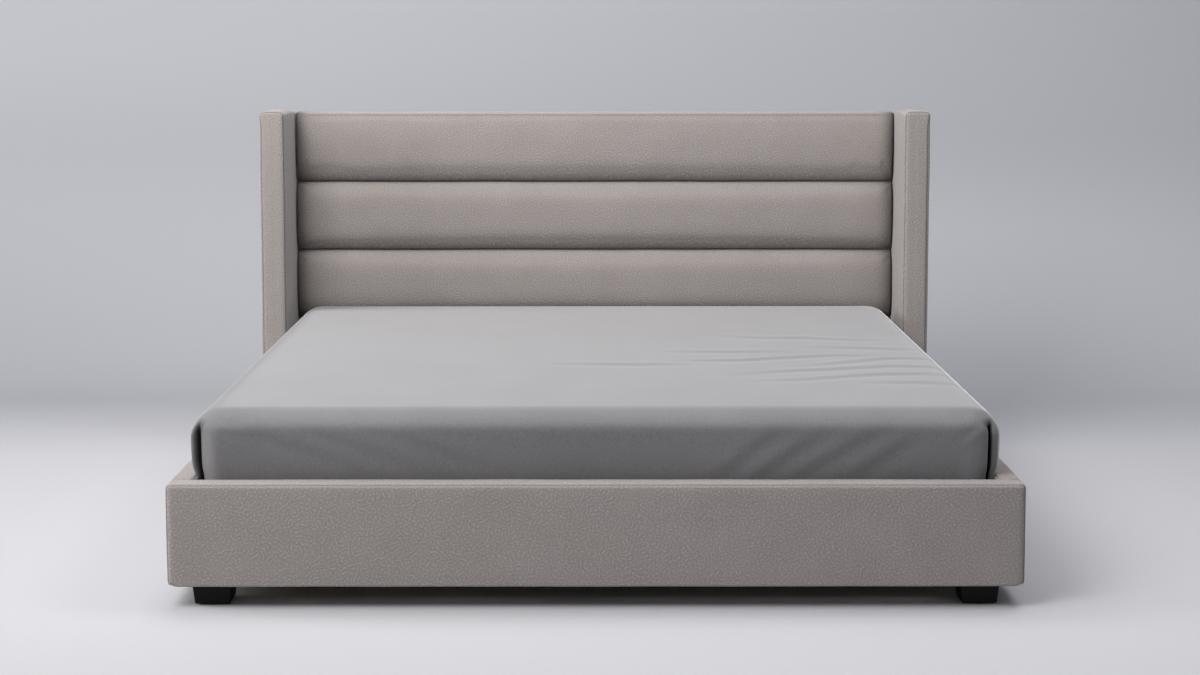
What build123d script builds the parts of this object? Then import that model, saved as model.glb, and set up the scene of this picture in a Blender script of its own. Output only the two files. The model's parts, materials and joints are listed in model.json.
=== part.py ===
from build123d import *
import os

os.makedirs("parts", exist_ok=True)

# An upholstered bed with a winged, channelled headboard, its slats, its mattress and its sheet.
# X runs across the bed, Y from its foot to its head and Z up from the floor, in millimetres.

# Clearances that the whole bed shares
soft_gap = 0.3           # between a soft piece and the piece beside it
hole_clearance = 0.2     # round a bolt or a screw, on its radius
cut_overrun = 20.0       # how far a cut runs past the face that it opens

# The mattress, its sheet and the room round it
mattress_width = 1950.0          # across its fullest part
mattress_length = 2050.0
mattress_height = 250.0
mattress_corner_radius = 80.0
mattress_side_inset = 45.0       # how far the bottom edge is drawn in from the fullest part
mattress_top_inset = 95.0        # how far in the flat of the top begins
sheet_thickness = 1.5
sheet_hem = 90.0                 # the elastic band that turns under the mattress
mattress_foot_gap = 5.0          # between the foot rail and the mattress
mattress_head_gap = 84.0         # between the mattress and the plywood of the headboard
mattress_overhang = 16.0         # how far its fullest part stands over each side rail

# The padded rails
rail_bottom = 54.0
rail_height = 246.0
side_rail_thickness = 48.0
foot_rail_thickness = 66.0
foot_rail_overhang = 11.0        # how far its ends stand past the side rails
rail_board_thickness = 34.0
rail_edge_radius = 12.0
foot_rail_corner_radius = 18.0
foot_rail_end_padding = 12.0
rail_top_padding = 10.0
cover_thickness = 2.0
cover_flange = 22.0              # how far the cover turns under the board

# Slats, their ledgers and the centre beam
slat_count = 12
slat_width = 90.0
slat_thickness = 20.0
slat_corner_radius = 4.0
slat_end_gap = 3.0               # between a slat's end and the rail
slat_inset = 20.0                # between the mattress's end and the first slat
slat_top = 210.0
ledger_width = 25.0
ledger_height = 40.0
beam_width = 40.0
beam_height = 90.0
hanger_wall = 3.0
hanger_depth = 50.0
hanger_ear = 36.0
hanger_gap = 0.3
centre_leg_size = 50.0
centre_leg_stud_radius = 5.0
centre_leg_stud_length = 30.0
centre_leg_place_share = 0.28    # of the beam's length, from each of its ends

# Feet and the blocks that carry them
foot_top_size = 95.0
foot_bottom_size = 84.0
foot_corner_radius = 5.0
foot_side_inset = 43.0           # from the side rail's outer face
foot_front_inset = 35.0          # from the foot rail's front face
glide_radius = 30.0
glide_thickness = 3.0
glide_leg_radius = 20.0
block_size = 110.0
block_height = 38.0

# Fasteners and brackets
bolt_radius = 4.0
bolt_length = 34.0
bolt_head_radius = 7.0
bolt_head_height = 5.0
bracket_wall = 4.0
bracket_arm = 60.0
bracket_height = 54.0
bracket_lift = 2.0               # above the corner block
bracket_bolt_edge = 14.0         # from the bracket's end and from its lower and upper edges
foot_bolt_length = 65.0
foot_bolt_head_radius = 8.0
foot_bolt_head_height = 8.0
foot_bore_depth = 10.0
screw_radius = 2.0
screw_head_radius = 4.0
screw_length = 45.0
wing_bolt_grip = 30.0            # how far a wing bolt goes into the wing's core

# The headboard between its wings
channel_pitch = 231.0
lowest_channel_height = 101.0    # what the lowest channel has above the rails
channel_count = 4
pad_crown = 48.0                 # the pad's thickness at the middle of a channel
pad_edge = 10.0                  # its thickness along a seam
pad_side_gap = 1.0               # between a pad and the wing
pad_top_wrap = 20.0              # padding over the top of the timber frame
pad_nose = 34.0                  # height of the round along the headboard's top edge
lowest_pad_gap = 4.0             # between the lowest pad and the top of the rails
plywood_thickness = 12.0
post_width = 65.0
post_depth = 40.0
headboard_rail_height = 65.0
headboard_bottom_rail_height = 150.0
back_cover_thickness = 2.0

# The wings
wing_gap = 1.0                   # between a side rail and the wing
wing_thickness = 81.0
wing_depth = 339.0
wing_rise = 14.0                 # how far the wings stand above the channels
wing_padding = 12.0
wing_corner_radius = 18.0
wing_top_radius = 15.0

# Shares, chosen by hand, that shape the soft forms. Each row of the mattress has a share of its
# height and the share of its lower or its upper inset at that height.
mattress_lower_shares = ((0.0, 1.0), (0.05, 0.82), (0.35, 0.455), (0.54, 0.167), (0.70, 0.0))
mattress_upper_shares = ((0.84, 0.08), (0.94, 0.26), (0.984, 0.53), (1.0, 1.0))
# Each row of a pad has a share of its half width and the share of its crown at that place.
pad_end_shares = ((1.0, 0.45), (0.985, 0.80), (0.95, 0.95), (0.88, 1.0))
pad_nose_depth_share = 0.76      # the crown's share at the foot of the nose
pad_nose_bulge_share = 0.62      # how far the nose stands out at its middle
pad_nose_rise_share = 0.72       # how high its middle lies
wing_bolt_shares = (0.28, 0.50, 0.85)    # of the headboard's height
middle_rail_share = 0.585        # of the headboard's height, so that the rail backs a seam

# Places worked out from the sizes
rail_top = rail_bottom + rail_height
side_rail_length = mattress_foot_gap + mattress_length + mattress_head_gap
headboard_depth = plywood_thickness + post_depth + back_cover_thickness
overall_length = foot_rail_thickness + side_rail_length + headboard_depth
foot_face = -overall_length / 2
foot_rail_back = foot_face + foot_rail_thickness
plywood_face = foot_rail_back + side_rail_length
post_face = plywood_face + plywood_thickness
back_face = overall_length / 2
rail_inner = mattress_width / 2 - mattress_overhang
rail_outer = rail_inner + side_rail_thickness
foot_rail_end = rail_outer + foot_rail_overhang
board_inner = rail_inner + cover_thickness
foot_board_back = foot_rail_back - cover_thickness
board_bottom = rail_bottom + cover_thickness
board_top = rail_top - cover_thickness - rail_top_padding
wing_inner = rail_outer + wing_gap
slat_bottom = slat_top - slat_thickness
mattress_bottom = slat_top + soft_gap
mattress_centre = foot_rail_back + mattress_foot_gap + mattress_length / 2
lowest_pad_bottom = rail_top + lowest_pad_gap
lowest_seam = lowest_pad_bottom + lowest_channel_height
headboard_height = lowest_seam + (channel_count - 1) * channel_pitch
frame_top = headboard_height - pad_top_wrap
wing_top = headboard_height + wing_rise
beam_bottom = slat_bottom - beam_height
foot_x = rail_outer - foot_side_inset - foot_top_size / 2
block_x = board_inner - block_size / 2
front_block_y = foot_board_back + block_size / 2
rear_block_y = plywood_face - block_size / 2
front_foot_y = foot_face + foot_front_inset + foot_top_size / 2
bracket_bottom = rail_bottom + block_height + bracket_lift
sides = (("left", -1), ("right", 1))


def save(piece, name):
    """Label a finished piece, and write it under its name."""
    piece.part.label = name
    export_step(piece.part, f"parts/{name}.step")


def block_between(low, high):
    """A plain block between two opposite corners."""
    width, depth, height = (high[i] - low[i] for i in range(3))
    middle = ((low[0] + high[0]) / 2, (low[1] + high[1]) / 2, low[2])
    with BuildPart() as block:
        with BuildSketch(Plane(middle)):
            Rectangle(width, depth)
        extrude(amount=height)
    return block


def mirrored_span(inner, outer, side):
    """Two X places at a given side of the bed, the lower one first."""
    return sorted((side * inner, side * outer))


# Fasteners


def bolt_form(radius, length, head_radius, head_height):
    """A hexagon bolt whose head sits on the XY plane, and whose shank goes down."""
    with BuildPart() as bolt:
        with BuildSketch():
            RegularPolygon(head_radius, 6)
        extrude(amount=head_height)
        with BuildSketch():
            Circle(radius)
        extrude(amount=-length)
    return bolt


def placed(template, planes):
    """Copies of one fastener, each on its own plane, as separate solids."""
    with BuildPart() as group:
        with Locations(*planes):
            add(template.part)
    return group


def drill(planes, depth):
    """Bores for the frame's bolts in the part that is being made."""
    with Locations(*planes):
        Hole(bolt_radius + hole_clearance, depth)


# Every plane faces the bolt's head, and lies on the face that the head presses on.


def bracket_planes(side, corner_y, inward):
    """The bolts of one corner bracket: first those in the side rail, then those in its end wall.

    inward is the way from the end wall to the middle of the bed, along Y.
    """
    low = bracket_bottom + bracket_bolt_edge
    high = bracket_bottom + bracket_height - bracket_bolt_edge
    reach = bracket_arm - bracket_bolt_edge
    rail_face = side * (board_inner - bracket_wall)
    end_face = corner_y + inward * bracket_wall
    rail_bolts = [
        Plane((rail_face, corner_y + inward * reach, z), z_dir=(-side, 0, 0)) for z in (low, high)
    ]
    end_bolts = [
        Plane((side * (board_inner - reach), end_face, z), z_dir=(0, inward, 0)) for z in (low, high)
    ]
    return rail_bolts, end_bolts


def hanger_planes(wall_y, inward):
    """The two bolts through the ears of a beam hanger."""
    reach = beam_width / 2 + hanger_gap + hanger_wall + hanger_ear / 2
    height = beam_bottom + beam_height / 2
    return [
        Plane((way * reach, wall_y + inward * hanger_wall, height), z_dir=(0, inward, 0))
        for way in (-1, 1)
    ]


side_rail_bolts = {"left": [], "right": []}
foot_rail_bolts = hanger_planes(foot_board_back, 1)
headboard_bolts = hanger_planes(plywood_face, -1)
for name, side in sides:
    front_rail_bolts, front_end_bolts = bracket_planes(side, foot_board_back, 1)
    rear_rail_bolts, rear_end_bolts = bracket_planes(side, plywood_face, -1)
    side_rail_bolts[name] = front_rail_bolts + rear_rail_bolts
    foot_rail_bolts += front_end_bolts
    headboard_bolts += rear_end_bolts

bolt = bolt_form(bolt_radius, bolt_length, bolt_head_radius, bolt_head_height)
all_frame_bolts = side_rail_bolts["left"] + side_rail_bolts["right"] + foot_rail_bolts + headboard_bolts
save(placed(bolt, all_frame_bolts), "frame_bolts")


# The foot rail: a board with foam on its front, its ends and its top, in a fabric cover


def foot_rail_form(inset):
    """The rounded bar of the foot rail, drawn in all round by an inset."""
    with BuildPart() as form:
        with BuildSketch(Plane((0, (foot_face + foot_rail_back) / 2, rail_bottom + inset))):
            Rectangle(2 * (foot_rail_end - inset), foot_rail_thickness - 2 * inset)
        extrude(amount=rail_height - 2 * inset)
        front_corners = form.edges().filter_by(Axis.Z).group_by(Axis.Y)[0]
        fillet(front_corners, foot_rail_corner_radius - inset)
        fillet(form.faces().sort_by(Axis.Z)[-1].edges(), rail_edge_radius - inset)
        lower_edges = form.faces().sort_by(Axis.Z)[0].edges().sort_by(Axis.Y)
        fillet(lower_edges[:-1], rail_edge_radius - inset)
    return form


foot_board_front = foot_board_back - rail_board_thickness
foot_board_end = foot_rail_end - cover_thickness - foot_rail_end_padding
foot_board_low = (-foot_board_end, foot_board_front, board_bottom)
foot_board_high = (foot_board_end, foot_board_back, board_top)
cover_open_top = slat_top + cover_thickness

with BuildPart() as foot_rail_board:
    add(block_between(foot_board_low, foot_board_high).part)
    drill(foot_rail_bolts, bolt_length)
save(foot_rail_board, "foot_rail_board")

with BuildPart() as foot_rail_padding:
    add(foot_rail_form(cover_thickness).part)
    add(block_between(foot_board_low, foot_board_high).part, mode=Mode.SUBTRACT)
save(foot_rail_padding, "foot_rail_padding")

foot_cover_open_low = (-board_inner, foot_board_front + cover_flange, rail_bottom - cut_overrun)
foot_cover_open_high = (board_inner, foot_rail_back + cut_overrun, cover_open_top)
with BuildPart() as foot_rail_cover:
    add(foot_rail_form(0).part)
    add(foot_rail_form(cover_thickness).part, mode=Mode.SUBTRACT)
    add(block_between(foot_cover_open_low, foot_cover_open_high).part, mode=Mode.SUBTRACT)
save(foot_rail_cover, "foot_rail_cover")


# The side rails, made the same way, with the cover open at both ends


def side_rail_form(side, inset):
    """The rounded bar of a side rail, drawn in round its section by an inset."""
    middle_x = side * (rail_outer + rail_inner) / 2
    middle = (middle_x, (foot_rail_back + plywood_face) / 2, rail_bottom + inset)
    with BuildPart() as form:
        with BuildSketch(Plane(middle)):
            Rectangle(side_rail_thickness - 2 * inset, side_rail_length)
        extrude(amount=rail_height - 2 * inset)
        fillet(form.edges().filter_by(Axis.Y), rail_edge_radius - inset)
    return form


for name, side in sides:
    near, far = mirrored_span(board_inner, board_inner + rail_board_thickness, side)
    board_low = (near, foot_rail_back, board_bottom)
    board_high = (far, plywood_face, board_top)

    with BuildPart() as side_rail_board:
        add(block_between(board_low, board_high).part)
        drill(side_rail_bolts[name], bolt_length)
    save(side_rail_board, f"side_rail_board_{name}")

    with BuildPart() as side_rail_padding:
        add(side_rail_form(side, cover_thickness).part)
        add(block_between(board_low, board_high).part, mode=Mode.SUBTRACT)
    save(side_rail_padding, f"side_rail_padding_{name}")

    flange_edge = board_inner + rail_board_thickness - cover_flange
    near, far = mirrored_span(rail_inner - cut_overrun, flange_edge, side)
    open_low = (near, foot_rail_back - cut_overrun, rail_bottom - cut_overrun)
    open_high = (far, plywood_face + cut_overrun, cover_open_top)
    with BuildPart() as side_rail_cover:
        add(side_rail_form(side, 0).part)
        add(side_rail_form(side, cover_thickness).part, mode=Mode.SUBTRACT)
        add(block_between(open_low, open_high).part, mode=Mode.SUBTRACT)
    save(side_rail_cover, f"side_rail_cover_{name}")


# Corner brackets, one in each corner above its block


def corner_bracket(side, corner_y, inward):
    """A steel angle whose arms lie on the side rail and on the end wall."""
    corner = (side * board_inner, corner_y)
    tip_x = (side * (board_inner - bracket_arm), corner_y)
    tip_y = (side * board_inner, corner_y + inward * bracket_arm)
    inner_x = side * (board_inner - bracket_wall)
    inner_y = corner_y + inward * bracket_wall
    rail_bolts, end_bolts = bracket_planes(side, corner_y, inward)
    with BuildPart() as bracket:
        with BuildSketch(Plane.XY.offset(bracket_bottom)):
            with BuildLine():
                Polyline(
                    corner, tip_x, (tip_x[0], inner_y), (inner_x, inner_y), (inner_x, tip_y[1]), tip_y,
                    close=True,
                )
            make_face()
        extrude(amount=bracket_height)
        drill(rail_bolts + end_bolts, bracket_wall)
    return bracket


with BuildPart() as corner_brackets:
    for name, side in sides:
        add(corner_bracket(side, foot_board_back, 1).part)
        add(corner_bracket(side, plywood_face, -1).part)
save(corner_brackets, "corner_brackets")


# The feet, the blocks that they are bolted to and the glides under them

foot_places = {
    "front_left": (-foot_x, front_foot_y),
    "front_right": (foot_x, front_foot_y),
    "rear_left": (-foot_x, rear_block_y),
    "rear_right": (foot_x, rear_block_y),
}
block_places = {
    "front_left": (-block_x, front_block_y),
    "front_right": (block_x, front_block_y),
    "rear_left": (-block_x, rear_block_y),
    "rear_right": (block_x, rear_block_y),
}
foot_shoulder = glide_thickness + foot_bore_depth

for name, (x, y) in foot_places.items():
    with BuildPart() as foot:
        with BuildSketch(Plane((x, y, glide_thickness))):
            RectangleRounded(foot_bottom_size, foot_bottom_size, foot_corner_radius)
        with BuildSketch(Plane((x, y, rail_bottom))):
            RectangleRounded(foot_top_size, foot_top_size, foot_corner_radius)
        loft()
        with Locations(Plane((x, y, glide_thickness), z_dir=(0, 0, -1))):
            CounterBoreHole(
                bolt_radius + hole_clearance,
                foot_bolt_head_radius + hole_clearance,
                foot_bore_depth,
                rail_bottom,
            )
    save(foot, f"foot_{name}")

    block_at = (*block_places[name], rail_bottom)
    with BuildPart() as corner_block:
        with BuildSketch(Plane(block_at)):
            Rectangle(block_size, block_size)
        extrude(amount=block_height)
        with Locations(Plane((x, y, rail_bottom), z_dir=(0, 0, -1))):
            Hole(bolt_radius + hole_clearance, foot_shoulder + foot_bolt_length - rail_bottom)
    save(corner_block, f"corner_block_{name}")

foot_bolt = bolt_form(bolt_radius, foot_bolt_length, foot_bolt_head_radius, foot_bolt_head_height)
foot_bolt_planes = [Plane((x, y, foot_shoulder), z_dir=(0, 0, -1)) for x, y in foot_places.values()]
save(placed(foot_bolt, foot_bolt_planes), "foot_bolts")

beam_front = foot_board_back + hanger_wall
beam_rear = plywood_face - hanger_wall
beam_length = beam_rear - beam_front
leg_places = {
    "front": beam_front + centre_leg_place_share * beam_length,
    "rear": beam_rear - centre_leg_place_share * beam_length,
}

with BuildPart() as floor_glides:
    for x, y in foot_places.values():
        with BuildSketch(Plane((x, y, 0))):
            Circle(glide_radius)
        extrude(amount=glide_thickness)
    for y in leg_places.values():
        with BuildSketch(Plane((0, y, 0))):
            Circle(glide_leg_radius)
        extrude(amount=glide_thickness)
save(floor_glides, "floor_glides")


# The centre beam, its legs and the hangers at its ends

with BuildPart() as centre_beam:
    add(
        block_between(
            (-beam_width / 2, beam_front, beam_bottom), (beam_width / 2, beam_rear, slat_bottom)
        ).part
    )
    with Locations(*(Plane((0, y, beam_bottom), z_dir=(0, 0, -1)) for y in leg_places.values())):
        Hole(centre_leg_stud_radius + hole_clearance, centre_leg_stud_length + hole_clearance)
save(centre_beam, "centre_beam")

for name, y in leg_places.items():
    with BuildPart() as centre_leg:
        with BuildSketch(Plane((0, y, glide_thickness))):
            Rectangle(centre_leg_size, centre_leg_size)
        extrude(amount=beam_bottom - glide_thickness)
        with BuildSketch(Plane((0, y, beam_bottom))):
            Circle(centre_leg_stud_radius)
        extrude(amount=centre_leg_stud_length)
    save(centre_leg, f"centre_leg_{name}")


def beam_hanger(wall_y, inward):
    """A steel shoe with a plate on the wall, a floor under the beam and a cheek at each side."""
    half_in = beam_width / 2 + hanger_gap
    half_out = half_in + hanger_wall
    floor_top = beam_bottom
    plate_half = half_out + hanger_ear
    plate_y = sorted((wall_y, wall_y + inward * hanger_wall))
    shoe_y = sorted((wall_y, wall_y + inward * hanger_depth))
    room_y = sorted((wall_y + inward * hanger_wall, wall_y + inward * (hanger_depth + cut_overrun)))
    low = floor_top - hanger_wall
    with BuildPart() as hanger:
        add(block_between((-plate_half, plate_y[0], low), (plate_half, plate_y[1], slat_bottom)).part)
        add(block_between((-half_out, shoe_y[0], low), (half_out, shoe_y[1], slat_bottom)).part)
        add(
            block_between((-half_in, room_y[0], floor_top), (half_in, room_y[1], slat_top)).part,
            mode=Mode.SUBTRACT,
        )
        drill(hanger_planes(wall_y, inward), hanger_wall)
    return hanger


with BuildPart() as beam_hangers:
    add(beam_hanger(foot_board_back, 1).part)
    add(beam_hanger(plywood_face, -1).part)
save(beam_hangers, "beam_hangers")


# Ledgers on the side rails, and the slats that are screwed down on them

slat_half = board_inner - slat_end_gap
screw_x = board_inner - ledger_width / 2
first_slat = foot_rail_back + mattress_foot_gap + slat_inset + slat_width / 2
last_slat = first_slat + mattress_length - 2 * slat_inset - slat_width
slat_pitch = (last_slat - first_slat) / (slat_count - 1)
slat_places = [first_slat + i * slat_pitch for i in range(slat_count)]
screw_top = {
    side: [Plane((side * screw_x, y, slat_top)) for y in slat_places] for name, side in sides
}

for name, side in sides:
    near, far = mirrored_span(board_inner - ledger_width, board_inner, side)
    ledger_low = (near, foot_board_back, slat_bottom - ledger_height)
    ledger_high = (far, plywood_face, slat_bottom)
    with BuildPart() as ledger:
        add(block_between(ledger_low, ledger_high).part)
        with Locations(*screw_top[side]):
            Hole(screw_radius + hole_clearance, screw_length)
    save(ledger, f"slat_ledger_{name}")

for number, y in enumerate(slat_places, start=1):
    with BuildPart() as slat:
        with BuildSketch(Plane((0, y, slat_bottom))):
            RectangleRounded(2 * slat_half, slat_width, slat_corner_radius)
        extrude(amount=slat_thickness)
        with Locations((-screw_x, y, slat_top), (screw_x, y, slat_top)):
            CounterSinkHole(screw_radius + hole_clearance, screw_head_radius + hole_clearance)
    save(slat, f"slat_{number:02d}")

with BuildPart() as screw:
    with BuildSketch(Plane.XZ):
        with BuildLine():
            Polyline(
                (0, 0),
                (screw_head_radius, 0),
                (screw_radius, screw_radius - screw_head_radius),
                (screw_radius, screw_radius - screw_length),
                (0, -screw_length),
                close=True,
            )
        make_face()
    revolve(axis=Axis.Z)
save(placed(screw, screw_top[-1] + screw_top[1]), "slat_screws")


# The timber frame of the headboard

wing_bolt_length = post_width + cover_thickness + wing_padding + wing_bolt_grip
post_middle_y = post_face + post_depth / 2
wing_bolt_x = wing_inner - post_width
wing_bolt_heights = [share * headboard_height for share in wing_bolt_shares]
wing_bolt_planes = {
    side: [
        Plane((side * wing_bolt_x, post_middle_y, height), z_dir=(-side, 0, 0))
        for height in wing_bolt_heights
    ]
    for name, side in sides
}

for name, side in sides:
    near, far = mirrored_span(wing_inner - post_width, wing_inner, side)
    with BuildPart() as post:
        add(block_between((near, post_face, rail_bottom), (far, post_face + post_depth, frame_top)).part)
        drill(wing_bolt_planes[side], wing_bolt_length)
    save(post, f"headboard_post_{name}")

between_posts = wing_inner - post_width
middle_rail_z = middle_rail_share * headboard_height
headboard_rails = {
    "bottom": (rail_bottom, rail_bottom + headboard_bottom_rail_height),
    "middle": (middle_rail_z - headboard_rail_height / 2, middle_rail_z + headboard_rail_height / 2),
    "top": (frame_top - headboard_rail_height, frame_top),
}
for name, (low, high) in headboard_rails.items():
    with BuildPart() as headboard_rail:
        add(
            block_between(
                (-between_posts, post_face, low), (between_posts, post_face + post_depth, high)
            ).part
        )
        if name == "bottom":
            drill(headboard_bolts, bolt_length)
    save(headboard_rail, f"headboard_{name}_rail")

with BuildPart() as plywood:
    add(block_between((-wing_inner, plywood_face, rail_bottom), (wing_inner, post_face, frame_top)).part)
    drill(headboard_bolts, bolt_length)
save(plywood, "headboard_plywood")

with BuildPart() as back_cover:
    add(
        block_between(
            (-wing_inner, back_face - back_cover_thickness, rail_bottom), (wing_inner, back_face, frame_top)
        ).part
    )
save(back_cover, "headboard_back_cover")


# The channel pads: each is crowned between its seams and drawn in at the wings

pad_half = wing_inner - pad_side_gap
pad_stations = [(-place * pad_half, share) for place, share in pad_end_shares]
pad_stations += [(place * pad_half, share) for place, share in reversed(pad_end_shares)]


def pad_plane(x):
    """The section plane at x: its X goes out from the plywood, and its Y goes up."""
    return Plane((x, plywood_face, 0), x_dir=(0, -1, 0), z_dir=(-1, 0, 0))


with BuildPart() as top_pad:
    low = headboard_height - channel_pitch + soft_gap / 2
    nose_foot = headboard_height - pad_nose
    nose_middle = headboard_height - pad_nose + pad_nose_rise_share * pad_nose
    for x, share in pad_stations:
        crown = share * pad_crown
        nose_depth = pad_nose_depth_share * crown
        with BuildSketch(pad_plane(x)):
            with BuildLine():
                Line((0, low), (share * pad_edge, low))
                ThreePointArc(
                    (share * pad_edge, low), (crown, (low + nose_foot) / 2), (nose_depth, nose_foot)
                )
                ThreePointArc(
                    (nose_depth, nose_foot),
                    (pad_nose_bulge_share * crown, nose_middle),
                    (0, headboard_height),
                )
                Polyline(
                    (0, headboard_height),
                    (-headboard_depth, headboard_height),
                    (-headboard_depth, frame_top),
                    (0, frame_top),
                    (0, low),
                )
            make_face()
    loft(ruled=True)
save(top_pad, "channel_pad_1")

for number in range(2, channel_count + 1):
    high = headboard_height - (number - 1) * channel_pitch - soft_gap / 2
    low = headboard_height - number * channel_pitch + soft_gap / 2
    if number == channel_count:
        low = lowest_pad_bottom
    with BuildPart() as channel_pad:
        for x, share in pad_stations:
            edge, crown = share * pad_edge, share * pad_crown
            with BuildSketch(pad_plane(x)):
                with BuildLine():
                    Line((0, low), (edge, low))
                    ThreePointArc((edge, low), (crown, (low + high) / 2), (edge, high))
                    Polyline((edge, high), (0, high), (0, low))
                make_face()
        loft(ruled=True)
    save(channel_pad, f"channel_pad_{number}")


# The wings: a timber core with foam all round, in a fabric cover


def wing_form(side, inset):
    """The rounded upright of a wing, drawn in all round by an inset."""
    middle = (side * (wing_inner + wing_thickness / 2), back_face - wing_depth / 2, rail_bottom + inset)
    with BuildPart() as form:
        with BuildSketch(Plane(middle)):
            Rectangle(wing_thickness - 2 * inset, wing_depth - 2 * inset)
        extrude(amount=wing_top - rail_bottom - 2 * inset)
        fillet(form.edges().filter_by(Axis.Z), wing_corner_radius - inset)
        fillet(form.faces().sort_by(Axis.Z)[-1].edges(), wing_top_radius - inset)
    return form


core_inset = cover_thickness + wing_padding
for name, side in sides:
    near, far = mirrored_span(wing_inner + core_inset, wing_inner + wing_thickness - core_inset, side)
    core_low = (near, back_face - wing_depth + core_inset, rail_bottom + cover_thickness)
    core_high = (far, back_face - core_inset, wing_top - core_inset)

    with BuildPart() as wing_core:
        add(block_between(core_low, core_high).part)
        drill(wing_bolt_planes[side], wing_bolt_length)
    save(wing_core, f"wing_core_{name}")

    with BuildPart() as wing_foam:
        add(wing_form(side, cover_thickness).part)
        add(block_between(core_low, core_high).part, mode=Mode.SUBTRACT)
        drill(wing_bolt_planes[side], wing_bolt_length)
    save(wing_foam, f"wing_padding_{name}")

    with BuildPart() as wing_cover:
        add(wing_form(side, 0).part)
        add(wing_form(side, cover_thickness).part, mode=Mode.SUBTRACT)
        drill(wing_bolt_planes[side], wing_bolt_length)
    save(wing_cover, f"wing_cover_{name}")

wing_bolt = bolt_form(bolt_radius, wing_bolt_length, bolt_head_radius, bolt_head_height)
save(placed(wing_bolt, wing_bolt_planes[-1] + wing_bolt_planes[1]), "wing_bolts")


# The mattress and its fitted sheet


def mattress_form(inset):
    """The crowned slab of the mattress, drawn in all round by an inset."""
    rows = [(height, mattress_side_inset * share) for height, share in mattress_lower_shares]
    rows += [(height, mattress_top_inset * share) for height, share in mattress_upper_shares]
    low = mattress_bottom + inset
    high = mattress_bottom + mattress_height - inset
    with BuildPart() as form:
        for height_share, draw in rows:
            z = low + (high - low) * height_share
            with BuildSketch(Plane((0, mattress_centre, z))):
                RectangleRounded(
                    mattress_width - 2 * (draw + inset),
                    mattress_length - 2 * (draw + inset),
                    mattress_corner_radius - inset,
                )
        loft()
    return form


with BuildPart() as mattress_core:
    add(mattress_form(sheet_thickness + soft_gap).part)
save(mattress_core, "mattress_core")

hem_reach = mattress_side_inset + sheet_hem
with BuildPart() as fitted_sheet:
    add(mattress_form(0).part)
    add(mattress_form(sheet_thickness).part, mode=Mode.SUBTRACT)
    with BuildSketch(Plane((0, mattress_centre, mattress_bottom - cut_overrun))):
        RectangleRounded(
            mattress_width - 2 * hem_reach, mattress_length - 2 * hem_reach, mattress_corner_radius
        )
    extrude(amount=cut_overrun + sheet_thickness + soft_gap, mode=Mode.SUBTRACT)
save(fitted_sheet, "fitted_sheet")
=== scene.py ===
# %% [markdown]
# # A winged bed in felted cloth
# This lesson dresses a bed that already exists as a plain solid model. The solid model is loaded first
# and never moved. Each soft part is then modelled again with Blender's own tools, in metres and in the
# same frame: X runs across the bed, Y from its foot to its head, and Z up from the floor.

# %% Load the solid model
import json
import math

import bmesh
import bpy
import numpy as np
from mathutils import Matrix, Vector


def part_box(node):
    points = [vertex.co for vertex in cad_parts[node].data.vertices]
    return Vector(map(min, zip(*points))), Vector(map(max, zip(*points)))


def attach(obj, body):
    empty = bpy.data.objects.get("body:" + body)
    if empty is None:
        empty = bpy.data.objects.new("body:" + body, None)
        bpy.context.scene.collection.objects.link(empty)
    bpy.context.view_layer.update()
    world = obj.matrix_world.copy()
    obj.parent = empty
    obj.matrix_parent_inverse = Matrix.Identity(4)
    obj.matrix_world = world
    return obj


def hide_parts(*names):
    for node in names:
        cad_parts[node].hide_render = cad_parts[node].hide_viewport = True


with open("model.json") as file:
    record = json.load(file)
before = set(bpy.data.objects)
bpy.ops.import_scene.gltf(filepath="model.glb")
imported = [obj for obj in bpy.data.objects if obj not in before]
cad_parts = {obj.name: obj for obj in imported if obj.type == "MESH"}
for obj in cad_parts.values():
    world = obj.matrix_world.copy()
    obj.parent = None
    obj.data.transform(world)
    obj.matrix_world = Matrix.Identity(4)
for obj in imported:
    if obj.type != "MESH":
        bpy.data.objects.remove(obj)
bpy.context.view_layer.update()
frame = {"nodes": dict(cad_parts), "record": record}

# %% [markdown]
# ## The camera
# The photograph was taken with a fairly long lens from a little above the headboard. The camera stands in
# front of the foot end and tilts down by a few degrees, and its lens is shifted a little, so that upright
# lines stay nearly upright.

# %% Place the camera
photo_width, sensor_width = 1200, 36.0
lens_in_pixels, shift_in_pixels = 2083.6, -103.0
camera_spot = (-0.0104, -5.9637, 1.3499)
tilt_down, turn_right = 5.4, 0.230

bpy.ops.object.select_all(action="DESELECT")
turned = (math.radians(90 - tilt_down), 0, -math.radians(turn_right))
bpy.ops.object.camera_add(location=camera_spot, rotation=turned)
camera = bpy.context.object
camera.name = "studio_camera"
camera.data.sensor_width = sensor_width
camera.data.lens = sensor_width * lens_in_pixels / photo_width
camera.data.shift_y = shift_in_pixels / photo_width
bpy.context.scene.camera = camera
bpy.context.scene.view_settings.view_transform = "Standard"
print("lens", round(camera.data.lens, 2), "mm")

# %% [markdown]
# ## The studio
# The bed stands on a pale seamless sweep. Large soft boxes light it, because upholstery shows its form best
# where every edge shades gently. The main one hangs high at the left and lights the fronts. One far out at
# the left shines along the sheet, and gives the left edges their pale rims. Three weak ones above, and a
# pale sky, keep the shadows open.

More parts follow.
